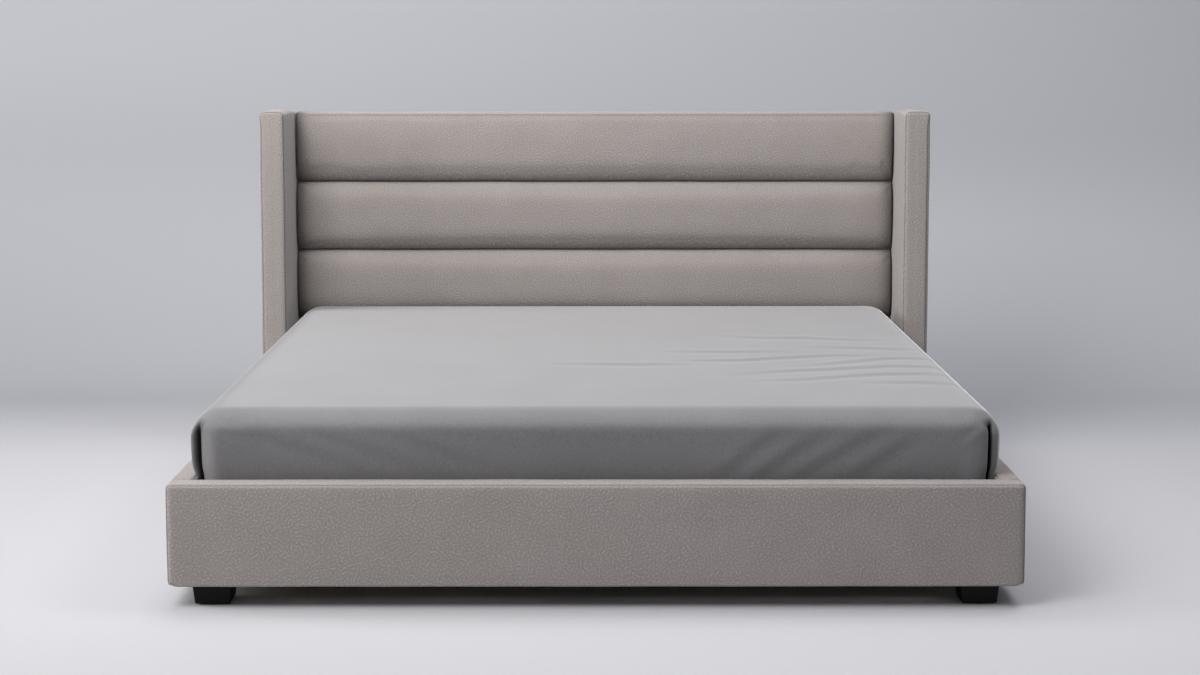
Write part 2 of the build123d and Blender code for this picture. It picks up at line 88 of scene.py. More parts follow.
# %% Hang the lamps
# A lamp's name, its place, the place that it faces, its two sides, its watts and its colour.
soft_boxes = (
    ("key_box", (-2.3, -3.2, 4.0), (0.2, 0.6, 0.4), (2.6, 2.6), 205, (1.0, 0.985, 0.965)),
    ("side_box", (-5.6, -0.5, 2.1), (0.3, 0.2, 0.5), (2.4, 2.4), 205, (1.0, 0.99, 0.98)),
    ("wing_box", (-1.0, -0.1, 2.7), (0.8, 0.95, 0.55), (1.0, 1.6), 24, (1.0, 0.985, 0.965)),
    ("right_box", (1.6, -0.8, 3.3), (1.0, -0.7, 0.3), (1.2, 1.2), 38, (1.0, 0.99, 0.98)),
    ("top_box", (-0.2, 0.4, 4.3), (0.0, 0.2, 0.0), (3.6, 3.2), 44, (1.0, 1.0, 1.0)),
)
bpy.ops.object.select_all(action="DESELECT")
for name, spot, target, size, watts, colour in soft_boxes:
    bpy.ops.object.light_add(type="AREA", location=spot)
    lamp = bpy.context.object
    lamp.name = name
    lamp.rotation_euler = (lamp.location - Vector(target)).to_track_quat("Z", "Y").to_euler()
    lamp.data.shape = "RECTANGLE"
    lamp.data.size, lamp.data.size_y = size
    lamp.data.energy = watts
    lamp.data.color = colour

world = bpy.data.worlds.new("studio_sky")
world.use_nodes = True
sky = world.node_tree.nodes["Background"].inputs
sky["Color"].default_value = (0.80, 0.83, 0.90, 1)
sky["Strength"].default_value = 0.38
bpy.context.scene.world = world

# %% [markdown]
# ## A short way to write materials
# A material is a net of nodes, and small helpers keep it readable. Every pattern reads Object coordinates,
# which are metres on the bed, so a weave has its true size on every piece.

# %% Material helpers


def new_material(name):
    """A fresh material, its node tree and its shader."""
    material = bpy.data.materials.new(name)
    material.use_nodes = True
    return material, material.node_tree, material.node_tree.nodes["Principled BSDF"]


def set_inputs(tree, node, inputs):
    """Set a node's inputs to values, or join them to sockets."""
    for key, value in inputs.items():
        if isinstance(value, bpy.types.NodeSocket):
            tree.links.new(value, node.inputs[key])
        else:
            node.inputs[key].default_value = value


def add_node(tree, kind, inputs=None, **settings):
    """A shader node with its settings and its inputs."""
    made = tree.nodes.new("ShaderNode" + kind)
    for key, value in settings.items():
        setattr(made, key, value)
    set_inputs(tree, made, inputs or {})
    return made


def mix_colours(tree, factor, first, second, blend="MIX"):
    """The colour between two colours."""
    inputs = {0: factor, 6: first, 7: second}
    return add_node(tree, "Mix", inputs, data_type="RGBA", blend_type=blend).outputs[2]


def object_place(tree, stretch=(1, 1, 1)):
    """Object coordinates, stretched for a pattern that runs one way."""
    place = add_node(tree, "TexCoord").outputs["Object"]
    return add_node(tree, "Mapping", {"Vector": place, "Scale": stretch}).outputs["Vector"]


def noise(tree, place, scale, detail=2.0):
    """The grey value of a noise pattern, with its scale in cells to the metre."""
    return add_node(tree, "TexNoise", {"Vector": place, "Scale": scale, "Detail": detail}).outputs["Fac"]


def ramp(tree, value, low, high, start=0.0, end=1.0):
    """A value stretched from a start at low to an end at high."""
    inputs = {"Value": value, "From Min": low, "From Max": high, "To Min": start, "To Max": end}
    return add_node(tree, "MapRange", inputs).outputs["Result"]


def maths(tree, operation, first, second=0.5):
    """One sum on two values."""
    return add_node(tree, "Math", {0: first, 1: second}, operation=operation).outputs[0]


def weigh(tree, first, weight, second, other_weight):
    """Two values added up, each times its weight."""
    first, second = maths(tree, "MULTIPLY", first, weight), maths(tree, "MULTIPLY", second, other_weight)
    return maths(tree, "ADD", first, second)


def bump(tree, height, distance, strength=0.5):
    """The normal of a surface with a height, given in shares of a distance in metres."""
    inputs = {"Height": height, "Distance": distance, "Strength": strength}
    return add_node(tree, "Bump", inputs).outputs["Normal"]


# %% [markdown]
# ## The upholstery cloth
# The bed is covered in a felted taupe cloth. From close by it is full of small curled ridges, a centimetre
# apart, like the lines of a fingerprint. The Gabor texture makes waves of one length that turn at every
# step, and their crests curl in just that way. Its flat form is much quicker than its solid form, so a
# point's place is first slanted into two numbers, and faces of every direction get a pattern. The ridges
# are paler than the valleys, and a soft sheen lifts the edges, as loose fibres do. Shade in seams and folds
# is painted into its colour, from an attribute named seam that the modelling cells write on the points.

# %% Make the upholstery cloth


def curled_lines(tree, place, waves):
    """1 along curled crests, falling to 0 between them, with a number of waves to the metre."""
    flat = {}
    for i, slant in enumerate(((1, 0.6, 0), (0, 0.8, 1))):
        flat[i] = add_node(tree, "VectorMath", {0: place, 1: slant}, operation="DOT_PRODUCT").outputs["Value"]
    inputs = {"Vector": add_node(tree, "CombineXYZ", flat).outputs[0], "Scale": waves / 1.5, "Frequency": 1.5}
    crests = add_node(tree, "TexGabor", inputs | {"Anisotropy": 0.0}, gabor_type="2D").outputs["Value"]
    return ramp(tree, crests, 0.46, 0.80)


def painted_shade_share(tree):
    """How much painted shade a point has, in a seam, a fold or at a channel's end, as the attribute named seam
    holds it.
    """
    return add_node(tree, "Attribute", attribute_name="seam").outputs["Fac"]


def paint_shade(tree, colour, deep):
    """A colour with painted shade: taken down to a deep share of itself where the attribute named seam marks shade.
    """
    dark = mix_colours(tree, 1.0, colour, (deep, deep, deep, 1), "MULTIPLY")
    return mix_colours(tree, painted_shade_share(tree), colour, dark)


def felted_cloth(name, valley, ridge, waves=114.0, relief=0.0011, sheen=0.35):
    """Felted cloth with curled ridges, and painted shade in its seams and folds."""
    material, tree, shader = new_material(name)
    place = object_place(tree)
    height = weigh(tree, curled_lines(tree, place, waves), 0.65, noise(tree, place, 520.0), 0.55)
    colour = mix_colours(tree, ramp(tree, height, 0.20, 0.85), valley, ridge)
    blotches = ramp(tree, noise(tree, place, 9.0, 3.0), 0.3, 0.7)
    rubbed = mix_colours(tree, 1.0, colour, (0.95, 0.947, 0.945, 1), "MULTIPLY")
    colour = mix_colours(tree, blotches, colour, rubbed)
    # Painted shade: the colour goes down to 6 percent where the attribute named seam marks shade.
    set_inputs(tree, shader, {
        "Base Color": paint_shade(tree, colour, 0.06), "Roughness": 0.92, "Specular IOR Level": 0.15,
        "Sheen Weight": sheen, "Sheen Roughness": 0.38, "Sheen Tint": (0.96, 0.93, 0.92, 1),
        "Normal": bump(tree, height, relief, 0.8),
    })
    return material


upholstery_cloth = felted_cloth("upholstery_cloth", (0.243, 0.220, 0.210, 1), (0.340, 0.309, 0.297, 1))
lining_cloth = felted_cloth("lining_cloth", (0.130, 0.118, 0.113, 1), (0.250, 0.230, 0.222, 1), 260.0, 0.0004, 0.15)

# %% [markdown]
# ## The sheet's cotton
# The sheet is smooth grey cotton with a very fine weave. Its short fibres give it a strong sheen where it is
# seen along its surface, so its top looks paler than its front. Deep in a fold, the same attribute paints
# shade: it takes down the sheet's colour and its sheen.

# %% Make the cotton


def smooth_cotton(name, deep, pale, sheen):
    """Smooth cotton with a fine weave, with painted shade in its folds."""
    material, tree, shader = new_material(name)
    place = object_place(tree)
    drift = ramp(tree, noise(tree, place, 5.0, 3.0), 0.3, 0.7)
    fine = noise(tree, place, 300.0)
    shade = weigh(tree, drift, 0.25, ramp(tree, fine, 0.25, 0.75), 0.75)
    # Painted shade: where the attribute named seam marks shade, the colour goes down to 2 percent and the sheen
    # goes out.
    lit = maths(tree, "SUBTRACT", 1.0, painted_shade_share(tree))
    set_inputs(tree, shader, {
        "Base Color": paint_shade(tree, mix_colours(tree, shade, deep, pale), 0.02),
        "Roughness": 0.75, "Specular IOR Level": 0.12, "Sheen Weight": maths(tree, "MULTIPLY", lit, sheen),
        "Sheen Roughness": 0.30, "Sheen Tint": (0.95, 0.94, 0.95, 1), "Normal": bump(tree, fine, 0.0004),
    })
    return material


sheet_cotton = smooth_cotton("sheet_cotton", (0.135, 0.133, 0.136, 1), (0.197, 0.193, 0.198, 1), 0.82)
ticking = smooth_cotton("mattress_ticking", (0.62, 0.62, 0.60, 1), (0.76, 0.76, 0.74, 1), 0.2)

# %% [markdown]
# ## Wood
# The slats, the beam and the headboard's frame are planed pine. Noise that is stretched along the board
# gives its fibres, and a slow wave through the same stretched place gives the darker late wood. Each
# material is made for boards that run along one axis.

# %% Make the woods


def planed_wood(name, along, pale, dark, rings=9.0, gloss=0.55):
    """Planed wood with its grain along one axis: 0 for X, 1 for Y and 2 for Z."""
    material, tree, shader = new_material(name)
    stretch = [1.0, 1.0, 1.0]
    stretch[along] = 0.06
    place = object_place(tree, stretch)
    waves = maths(tree, "MULTIPLY", noise(tree, place, 7.0, 3.0), rings * 12.0)
    late = ramp(tree, maths(tree, "SINE", waves), -1, 1)
    grain = weigh(tree, late, 0.45, noise(tree, place, 260.0, 4.0), 0.6)
    colour = mix_colours(tree, ramp(tree, grain, 0.15, 0.95), pale, dark)
    set_inputs(tree, shader, {"Base Color": colour, "Roughness": gloss, "Normal": bump(tree, grain, 0.0004)})
    return material


pine_pale, pine_dark = (0.66, 0.47, 0.27, 1), (0.46, 0.28, 0.13, 1)
pine = [planed_wood("pine_along_" + axis, i, pine_pale, pine_dark) for i, axis in enumerate("xyz")]
slat_pine = planed_wood("slat_pine", 0, (0.70, 0.52, 0.32, 1), (0.55, 0.36, 0.19, 1), 6.0)
plywood_face = planed_wood("plywood_face", 0, (0.62, 0.45, 0.27, 1), (0.50, 0.34, 0.19, 1), 4.0, 0.65)

# %% [markdown]
# ## Metal, lacquer and felt
# The screws and bolts are zinc plated, with a slightly uneven gloss. The brackets have a black powder
# coat, dull and finely pitted. The feet have a black lacquer with a low gloss. The glides are pressed felt.

# %% Make the metal, the lacquer and the felt


def plain_finish(name, deep, pale, scale, relief, rough, metal=0.0, shine=0.5, detail=2.0):
    """A finish whose colour and gloss vary a little with a fine noise."""
    material, tree, shader = new_material(name)
    grain = noise(tree, object_place(tree), scale, detail)
    spread = ramp(tree, grain, 0.3, 0.7)
    set_inputs(tree, shader, {
        "Base Color": mix_colours(tree, spread, (*deep, 1), (*pale, 1)), "Metallic": metal,
        "Roughness": ramp(tree, spread, 0, 1, *rough), "Specular IOR Level": shine,
        "Normal": bump(tree, grain, relief),
    })
    return material


zinc = plain_finish("zinc_plate", (0.48, 0.48, 0.47), (0.66, 0.66, 0.64), 300.0, 0.0001, (0.28, 0.42), 1.0)
powder_coat = plain_finish("powder_coat", (0.018, 0.018, 0.020), (0.028, 0.028, 0.030), 900.0, 0.0003, (0.5, 0.6))
foot_lacquer = plain_finish(
    "foot_lacquer", (0.0020, 0.0020, 0.0021), (0.0034, 0.0034, 0.0036), 160.0, 0.0002, (0.60, 0.70), shine=0.22
)
glide_felt = plain_finish(
    "glide_felt", (0.030, 0.028, 0.026), (0.075, 0.070, 0.066), 800.0, 0.0008, (0.9, 0.98), detail=4.0
)

# %% [markdown]
# ## Dress the solid parts
# Boards, brackets and fasteners already have their right shape, so they only get the finish that the
# model's record gives them. A board's grain follows its longest side.

# %% Give each solid part its finish
finish_of = {
    "upholstery": upholstery_cloth, "lining": lining_cloth, "foam": lining_cloth, "sheet": sheet_cotton,
    "mattress": ticking, "plywood": plywood_face, "slat_wood": slat_pine, "zinc_steel": zinc,
    "bracket_steel": powder_coat, "black_foot": foot_lacquer, "felt": glide_felt,
}
for part in frame["record"]["subparts"]:
    node = frame["nodes"][part["node"]]
    low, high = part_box(part["node"])
    spans = [high[i] - low[i] for i in range(3)]
    finish = finish_of.get(part["material_slot"]) or pine[spans.index(max(spans))]
    if not node.material_slots:
        node.data.materials.append(finish)
    for held in node.material_slots:
        held.material = finish
print(len(frame["nodes"]), "solid parts have a finish")

# %% [markdown]
# ## Helpers for modelling
# Each soft piece starts as a block or a flat grid. A block's edges are rounded with the bevel tool, and it
# is cut into enough loops to be pushed about like clay. A piece's points are read as one table of numbers,
# changed together, and written back.

# %% Blocks, grids, bevels and loops


def make_active(piece):
    """Select one piece and nothing else."""
    bpy.ops.object.select_all(action="DESELECT")
    piece.select_set(True)
    bpy.context.view_layer.objects.active = piece


def name_piece(name):
    """Keep the place of the piece that was just added in its mesh, and name it."""
    bpy.ops.object.transform_apply(location=True, rotation=True, scale=True)
    piece = bpy.context.object
    piece.name = name
    piece.data.name = name
    return piece


def add_block(name, low, high):
    """A block between two corners."""
    bpy.ops.object.select_all(action="DESELECT")
    bpy.ops.mesh.primitive_cube_add(size=1, location=tuple((low + high) / 2), scale=tuple(high - low))
    return name_piece(name)


def add_grid(name, columns, rows, size=1):
    """A flat square grid round the origin."""
    bpy.ops.object.select_all(action="DESELECT")
    bpy.ops.mesh.primitive_grid_add(x_subdivisions=columns, y_subdivisions=rows, size=size)
    return name_piece(name)


def work_on(piece, kind, test, tool, **settings):
    """In edit mode, select just the verts, edges or faces that pass a test, and use a tool on them."""
    make_active(piece)
    bpy.ops.object.mode_set(mode="EDIT")
    bpy.ops.mesh.select_mode(type=kind[:-1].upper())
    mesh = bmesh.from_edit_mesh(piece.data)
    for group in (mesh.verts, mesh.edges, mesh.faces):
        for item in group:
            item.select = False
    for item in getattr(mesh, kind):
        if test(item):
            item.select = True
    mesh.select_flush_mode()
    bmesh.update_edit_mesh(piece.data)
    tool(**settings)
    bpy.ops.object.mode_set(mode="OBJECT")


def is_open(edge):
    """True for an edge of an open rim."""
    return edge.is_boundary


def runs_along(edge, axis, least=0.004):
    """True for an edge that runs along an axis and is longer than the least."""
    run = edge.verts[1].co - edge.verts[0].co
    return abs(run[axis]) > 0.999 * run.length and run.length > least


def lies_at(edge, axis, place):
    """True for an edge whose two ends lie at a place along an axis."""
    return all(abs(v.co[axis] - place) < 1e-5 for v in edge.verts)


def round_edges(piece, test, radius, segments=6):
    """Bevel the edges that pass a test."""
    bevel = {"offset": radius, "segments": segments, "profile": 0.5, "affect": "EDGES"}
    work_on(piece, "edges", test, bpy.ops.mesh.bevel, **bevel)


def add_loops(piece, counts):
    """Cut a block's long edges along X, Y and Z into loops, and smooth it."""
    for axis, cuts in enumerate(counts):
        work_on(piece, "edges", lambda e: runs_along(e, axis, 0.02), bpy.ops.mesh.subdivide, number_cuts=cuts)
    apply_modifier(piece, "SUBSURF", levels=1, render_levels=1)


def pull_rim(piece, by):
    """Extrude a piece's open rim."""
    work_on(piece, "edges", is_open, bpy.ops.mesh.extrude_region_move, TRANSFORM_OT_translate={"value": by})


def face_outwards(piece):
    """Turn every face outwards."""
    work_on(piece, "faces", lambda face: True, bpy.ops.mesh.normals_make_consistent, inside=False)


def corners(node):
    """The two corners of a solid node's box."""
    return [np.array(corner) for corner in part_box(node)]


def read_points(piece):
    """The piece's points as a table."""
    table = np.empty(len(piece.data.vertices) * 3)
    piece.data.vertices.foreach_get("co", table)
    return table.reshape(-1, 3)


def write_points(piece, table):
    """Put a table of points back into the piece."""
    piece.data.vertices.foreach_set("co", np.ascontiguousarray(table).ravel())
    piece.data.update()


def push_points(piece, amount):
    """Push each point out along the direction in which it faces."""
    normals = np.empty(len(piece.data.vertices) * 3)
    piece.data.vertex_normals.foreach_get("vector", normals)
    write_points(piece, read_points(piece) + normals.reshape(-1, 3) * amount[:, None])


def apply_modifier(piece, kind, **settings):
    """Add a modifier, set it and apply it."""
    make_active(piece)
    modifier = piece.modifiers.new(kind.lower(), kind)
    for key, value in settings.items():
        setattr(modifier, key, value)
    bpy.ops.object.modifier_apply(modifier=modifier.name)


def finish_piece(piece, replaced, material=upholstery_cloth, body="frame"):
    """Shade a piece, give it its material, let it ride on its body, and hide the solid nodes that it replaces."""
    piece.data.materials.clear()
    piece.data.materials.append(material)
    make_active(piece)
    bpy.ops.object.shade_smooth()
    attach(piece, body)
    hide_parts(*replaced)
    print(piece.name, len(piece.data.polygons), "faces")


# %% [markdown]
# ## Seams and slack
# A seam pulls the cloth in by a millimetre or two, and the cloth beside it stands up a little. On a wing
# or a rail it runs along a rounded edge, so it is found by how far round that edge a point has turned. Each
# point's share in the seam is kept as an attribute too, and by it shade is painted into the cloth's colour
# along the seam. Cloth over foam is never quite flat, so a few slow waves take the stiffness out of the big faces.

# %% Seam and slack helpers
edge_radius = 0.012
seam_width, swell_place, swell_width = 0.0020, 0.0048, 0.0028
far = 9.0


def bell(distance, width):
    """1 at no distance, falling softly to 0 over a width or two."""
    return np.exp(-((distance / width) ** 2))


def share_of(value, span):
    """A value as a share of a span, kept between 0 and 1."""
    return np.clip(value / span, 0, 1)


def outline_seam(points, low, high, across, turn):
    """Each point's share in the seam, and in the swell beside it, round the panel that faces along one axis.

    The turn is how far round the edge the seam runs, in degrees."""
    flat_half = (high - low) / 2 - edge_radius
    gone = np.maximum(np.abs(points - (low + high) / 2) - flat_half, 0)
    others = np.delete(gone, across, axis=1).max(axis=1)
    on_edge = np.hypot(gone[:, across], others) > edge_radius * 0.6
    beside = np.abs(np.arctan2(gone[:, across], others) - np.radians(turn)) * edge_radius
    return bell(beside, seam_width) * on_edge, bell(beside - swell_place, swell_width) * on_edge


def mark_painted_shade(piece, share):
    """Keep the points' shares of painted shade as an attribute named seam, for the cloth's colour."""
    layer = piece.data.attributes.get("seam") or piece.data.attributes.new("seam", "FLOAT", "POINT")
    kept = np.zeros(len(share), np.float32)
    layer.data.foreach_get("value", kept)
    layer.data.foreach_set("value", np.maximum(kept, share).astype(np.float32))


def sink_seam_and_paint_shade(piece, seam, swell, depth=0.0016, shade=1.0):
    """Pull a seam in, let the cloth beside it stand up, and paint shade along it by its share of shade."""
    push_points(piece, depth * (0.4 * swell - seam))
    mark_painted_shade(piece, seam * shade)


def slack(piece, depth, seed, length=0.35):
    """Slow shallow waves over a whole piece."""
    points = read_points(piece)
    total = np.zeros(len(points))
    for number in range(1, 6):
        turn = seed * 1.7 + number * 2.399
        way = np.array([math.cos(turn), math.sin(turn * 1.3), math.sin(turn)])
        total += np.sin(points @ way * (2 * math.pi / length) * (0.6 + 0.27 * number) + turn * 3.1) / number
    push_points(piece, depth * total / 2)


# %% [markdown]
# ## The wings
# A wing is an upright board, padded all round and sewn into a boxed cover. Its front edge is a narrow
# panel with a seam down each side and across its top, and its top swells into a low dome. Flat panels could
# be stitched together, but a block with rounded edges and sunk seams looks the same and has an even mesh.

# %% Model the wings
wing_outer_turn, wing_inner_turn, wing_top_turn = 70, 30, 38
dome_room, dome_rise, front_fall, back_fall = 0.004, 0.0050, 0.001, 0.011
wing_side_belly, wing_front_belly = 0.0015, 0.0020
top_seam_start, top_seam_run, dome_run = 0.040, 0.028, 0.03


def make_wing(side, place):
    """One padded wing."""
    low, high = corners("wing_cover_" + place)
    high[2] -= dome_room
    wing = add_block("wing_upholstery_" + place, low, high)
    round_edges(wing, lambda e: runs_along(e, 2), edge_radius)
    round_edges(wing, lambda e: lies_at(e, 2, high[2]), edge_radius)
    round_edges(wing, lambda e: lies_at(e, 2, low[2]), edge_radius / 2, 3)
    add_loops(wing, (5, 18, 60))
    points = read_points(wing)
    x, y, z = points.T
    middle, half = (low + high) / 2, (high - low) / 2
    side_turn = np.where((x - middle[0]) * side < 0, wing_inner_turn, wing_outer_turn)
    turn = side_turn + (wing_top_turn - side_turn) * share_of(z - (high[2] - top_seam_start), top_seam_run)
    seam, swell = outline_seam(points, low, high, 1, turn)
    share = np.clip((points - middle) / half, -1, 1).T
    belly = 1 - np.abs(share) ** 4
    crest = middle[1] - 0.2 * half[1]
    behind, ahead = share_of(y - crest, high[1] - crest), share_of(crest - y, crest - low[1])
    dome = dome_rise * (1 - share[0] ** 2) - front_fall * ahead**2 - back_fall * behind**2
    z += share_of(z - (high[2] - dome_run), dome_run) * dome
    x += np.sign(share[0]) * wing_side_belly * belly[1] * belly[2]
    y += np.sign(share[1]) * wing_front_belly * belly[0] * belly[2]
    write_points(wing, points)
    # Painted shade along the wing's seams, at 55 percent.
    sink_seam_and_paint_shade(wing, seam, swell, shade=0.55)
    slack(wing, 0.0008, 2.0 + side)
    finish_piece(wing, ["wing_cover_" + place, "wing_padding_" + place])


sides = ((-1, "left"), (1, "right"))
for side, place in sides:
    make_wing(side, place)

# %% [markdown]
# ## The rails
# A rail is a board with thin foam on its outside and its top. The cloth is stapled under the board and on
# its inner side, so its inner face is open and shows the board. The side rails are padded out until they
# are flush with the foot rail's ends, and are narrower inside the wings. A rail is a closed rounded block
# first. Then the faces that have no cloth are deleted, and the rest gets the thickness of the cloth.

# %% Model the rails
rail_seam_turn = 40
rail_end_radius = 0.018
rail_top_belly, rail_front_belly = 0.0015, 0.0025
panel_inset, panel_radius, panel_reach = 0.003, 0.040, 0.043
panel_end, panel_line = 0.0032, 0.0016
tuck_reach, tuck_step = 0.0107, 0.0004
rail_face = float(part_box("foot_rail_cover")[1][0])
wing_front = float(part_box("wing_cover_right")[0][1])


def top_panel_seam(points, low, high):
    """Each point's share of a painted dark line of shade along the seam round the foot rail's top panel, which
    rounds its back corners and runs down its ends.
    """
    x, y, z = points.T
    from_end, from_back = high[0] - np.abs(x), high[1] - y
    in_corner = (from_end < panel_reach) & (from_back < panel_reach)
    corner = np.hypot(np.minimum(from_end - panel_reach, 0), np.minimum(from_back - panel_reach, 0))
    straight = np.minimum(np.abs(from_end - panel_inset), np.abs(from_back - panel_inset))
    off_top = np.where(in_corner, np.abs(corner - panel_radius), straight)
    on_top = (z > high[2] - 0.006) & (from_end < 0.12)
    on_end = (y < low[1] + rail_end_radius) & (z < high[2] - 0.004)
    off_end = np.where(on_end, np.abs(from_end - panel_end), far)
    return bell(np.where(on_top, off_top, off_end), panel_line)


def tuck_behind_wing(points, solid_outer):
    """The end of a side rail runs inside the wing, so it is narrower there, with a clear step."""
    x, y, _ = points.T
    step = wing_front - 0.001
    past = y - step
    y[:] = np.where(np.abs(past) < tuck_reach, step + np.sign(past) * tuck_step, y)
    x[past > 0] = np.clip(x[past > 0], -solid_outer, solid_outer)


def make_rail(kind, place, seam_axis, counts, open_test, seed):
    """One padded rail: its seam axis is 0 for a side rail and 1 for the foot rail."""
    node, padding = f"{kind}_cover{place}", f"{kind}_padding{place}"
    low, high = corners(node)
    solid_outer = max(abs(low[0]), abs(high[0]))
    if seam_axis == 0:
        low[0], high[0] = (-rail_face, high[0]) if low[0] < 0 else (low[0], rail_face)
    rail = add_block(f"{kind}_upholstery{place}", low, high)
    if seam_axis == 1:
        round_edges(rail, lambda e: runs_along(e, 2) and lies_at(e, 1, low[1]), rail_end_radius)
    round_edges(rail, lambda e: lies_at(e, 2, high[2]), edge_radius)
    outer = low[1] if seam_axis == 1 else max((low[0], high[0]), key=abs)
    round_edges(rail, lambda e: lies_at(e, 2, low[2]) and lies_at(e, seam_axis, outer), edge_radius * 0.75, 4)
    add_loops(rail, counts)
    points = read_points(rail)
    x, y, z = points.T
    seam, swell = outline_seam(points, low, high, seam_axis, rail_seam_turn)
    middle, half = (low + high) / 2, (high - low) / 2
    if seam_axis == 0:
        # Painted shadow: a dark line at the side rail's front end, where it meets the foot rail; the line also
        # sinks in a little.
        seam = np.maximum(seam, 0.7 * bell(y - low[1], 0.003))
        tuck_behind_wing(points, solid_outer)
    belly = 1 - share_of(np.abs(points - middle), half).T ** 6
    if seam_axis == 1:
        y -= (y < middle[1]) * rail_front_belly * belly[0] * belly[2]
    z += (z > middle[2]) * rail_top_belly * belly[0] * belly[1]
    write_points(rail, points)
    # Painted shade along the rail's seam, at 30 percent.
    sink_seam_and_paint_shade(rail, seam, swell, 0.0010, shade=0.30)
    if seam_axis == 1:
        # Painted shade: a dark line along the top panel's seam, with no groove under it.
        mark_painted_shade(rail, 0.6 * top_panel_seam(points, low, high))
    slack(rail, 0.0007, seed)
    work_on(rail, "faces", lambda face: open_test(face.calc_center_median()), bpy.ops.mesh.delete, type="FACE")
    apply_modifier(rail, "SOLIDIFY", thickness=0.0015, offset=-1)
    finish_piece(rail, [node, padding])


cloth_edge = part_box("slat_01")[1][2] + 0.002
flange = 0.025
board_low, board_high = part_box("foot_rail_board")
side_inner = min(abs(corner[0]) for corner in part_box("side_rail_board_left")) + 0.034 - flange


def foot_rail_is_open(centre):
    """True on the foot rail's inner side, below the slats' top, and under its board."""
    inside = abs(centre[0]) < board_high[0] - 0.04
    return inside and centre[1] > board_low[1] + flange and centre[2] < cloth_edge


def side_rail_is_open(centre):
    """True on a side rail's inner side and under its board."""
    return abs(centre[0]) < side_inner and centre[2] < cloth_edge


make_rail("foot_rail", "", 1, (100, 3, 12), foot_rail_is_open, 5.0)
for side, place in sides:
    make_rail("side_rail", "_" + place, 0, (2, 100, 12), side_rail_is_open, 7.0 + side)

# %% [markdown]
# ## The channels of the headboard
# Between the wings the headboard has wide padded channels: cloth over foam, held down along its seams, so
# it bulges between them and draws in at the wings. Each one starts as a flat grid that is bent to its rough
# form. Then Blender's cloth, with a little air pressure and with the seams pinned, lets it find its own
# curve. Last it gets its sides and its back.

# %% A helper that lets cloth settle
cloth_settings = {
    "vertex_group_mass": "held", "quality": 5, "mass": 0.4, "tension_stiffness": 15.0,
    "compression_stiffness": 15.0, "shear_stiffness": 5.0, "bending_stiffness": 2.0,
    "use_pressure": True, "uniform_pressure_force": 2.5,
}
pressure_frames = 20
most_swell = 0.0022


def let_cloth_settle(piece, pinned):
    """Swell a piece of cloth with its pins held, and let no point move further than the most."""
    start = read_points(piece)
    held = piece.vertex_groups.new(name="held")
    held.add([int(i) for i in np.flatnonzero(pinned)], 1.0, "REPLACE")
    make_active(piece)
    cloth = piece.modifiers.new("cloth", "CLOTH")
    for key, value in cloth_settings.items():
        setattr(cloth.settings, key, value)
    cloth.settings.effector_weights.gravity = 0
    cloth.point_cache.frame_start = 1
    cloth.point_cache.frame_end = pressure_frames
    for number in range(1, pressure_frames + 1):
        bpy.context.scene.frame_set(number)
    bpy.ops.object.modifier_apply(modifier=cloth.name)
    bpy.context.scene.frame_set(1)
    moved = read_points(piece) - start
    reach = np.linalg.norm(moved, axis=1)
    share = np.minimum(1.0, most_swell / np.maximum(reach, 1e-9))
    write_points(piece, start + moved * share[:, None])
    piece.vertex_groups.clear()
    print(piece.name, "swelled by", round(1000 * float(np.minimum(reach, most_swell).max()), 1), "mm")


# %% Model the channel cushions
plywood_low, plywood_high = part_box("headboard_plywood")
back_low, back_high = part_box("headboard_back_cover")
face_y, back_y = plywood_low[1], back_high[1]
half_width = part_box("wing_cover_right")[0][0] - 0.0012
seam_depth, crown_depth = 0.005, 0.046
swell_flatness, swell_fullness = 3.2, 0.54
draw_in, end_drop, end_drop_run = 0.004, 0.009, 0.05
top_radius, top_lean, lid_rise = 0.012, 0.010, 0.0015
channel_columns, front_steps, top_steps = 150, 26, 10
top_seam_drop = 0.0080


def channel_profile(low, high, closes_over_top):
    """The rows of a channel: how far each stands out from the plywood, and its height."""
    share = np.linspace(0, 1, front_steps + 1)
    share = share - 0.55 * np.sin(2 * math.pi * share) / (2 * math.pi)
    round_share = np.minimum(share, 0.5) if closes_over_top else share
    swell = np.maximum(0.0, 1 - np.abs(2 * round_share - 1) ** swell_flatness) ** swell_fullness
    depth = seam_depth + (crown_depth - seam_depth) * swell
    if not closes_over_top:
        return np.column_stack([depth, low + (high - low) * share])
    depth = depth - top_lean * share_of(share - 0.5, 0.5) ** 2.2
    turn = np.radians(np.arange(15, 91, 15))
    over = np.arange(1, top_steps + 1) / top_steps
    bend = depth[-1] - top_radius * (1 - np.cos(turn))
    lid = bend[-1] + (face_y - back_y - bend[-1]) * over
    front_up, bend_up = low + (high - top_radius - low) * share, high - top_radius * (1 - np.sin(turn))
    lid_up = high + lid_rise * np.sin(math.pi * over)
    return np.column_stack([np.concatenate([depth, bend, lid]), np.concatenate([front_up, bend_up, lid_up])])


def close_back(piece):
    """Give a cushion its sides and its back, which lie on the plywood, or on its top edge."""
    pull_rim(piece, (0, 0, 0))
    rim = [v.index for v in piece.data.vertices if v.select]
    points = read_points(piece)
    _, y, z = points.T
    behind = y[rim] > face_y + 0.001
    y[rim] = np.where(behind, y[rim], face_y - 0.0002)
    z[rim] = np.where(behind, plywood_high[2] + 0.0005, z[rim])
    write_points(piece, points)
    work_on(piece, "edges", is_open, bpy.ops.mesh.edge_face_add)
    face_outwards(piece)


